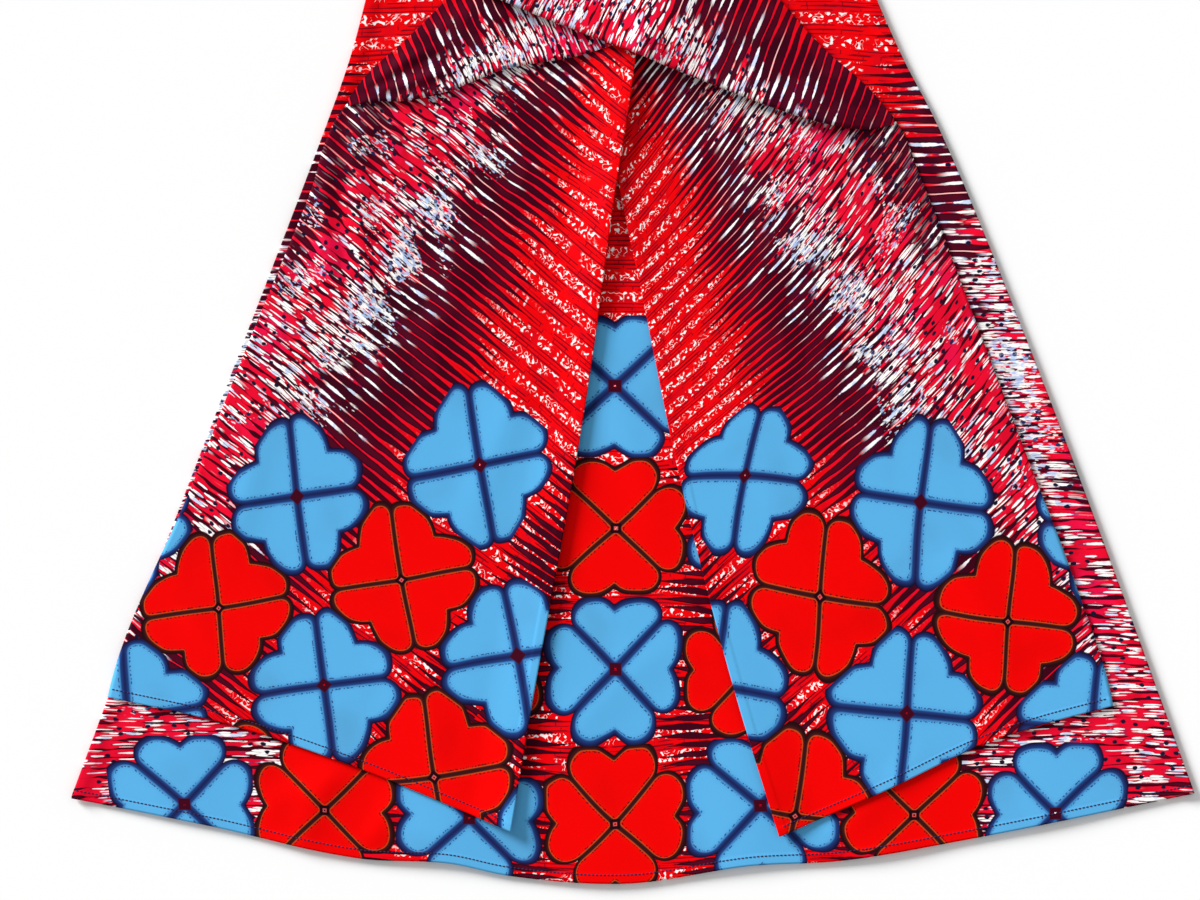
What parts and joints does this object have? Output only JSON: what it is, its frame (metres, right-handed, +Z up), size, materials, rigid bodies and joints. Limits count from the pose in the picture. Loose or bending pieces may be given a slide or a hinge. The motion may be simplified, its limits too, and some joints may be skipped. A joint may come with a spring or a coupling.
{
  "type": "wrap-front dress",
  "caption": "Sleeveless A-line dress laid flat, with crossed wraps over the front and open bias-cut overlays on the skirt.",
  "frame": {"origin": "on the surface under the middle of the dress's bounding box", "axes": "+Y toward the neck, +Z up out of the front, +X to the viewer's right as the dress is seen from above"},
  "size_m": [0.8973, 1.1503, 0.0159],
  "materials": {
    "printed_cotton": "plain-weave printed cotton, red ground with blue and red flowers"
  },
  "bodies": {
    "root": {"bodice_back": "printed_cotton", "bodice_front": "printed_cotton", "skirt_back": "printed_cotton", "skirt_front": "printed_cotton", "overlay_left": "printed_cotton", "overlay_right": "printed_cotton", "wrap_under": "printed_cotton", "wrap_over": "printed_cotton"}
  },
  "joints": []
}
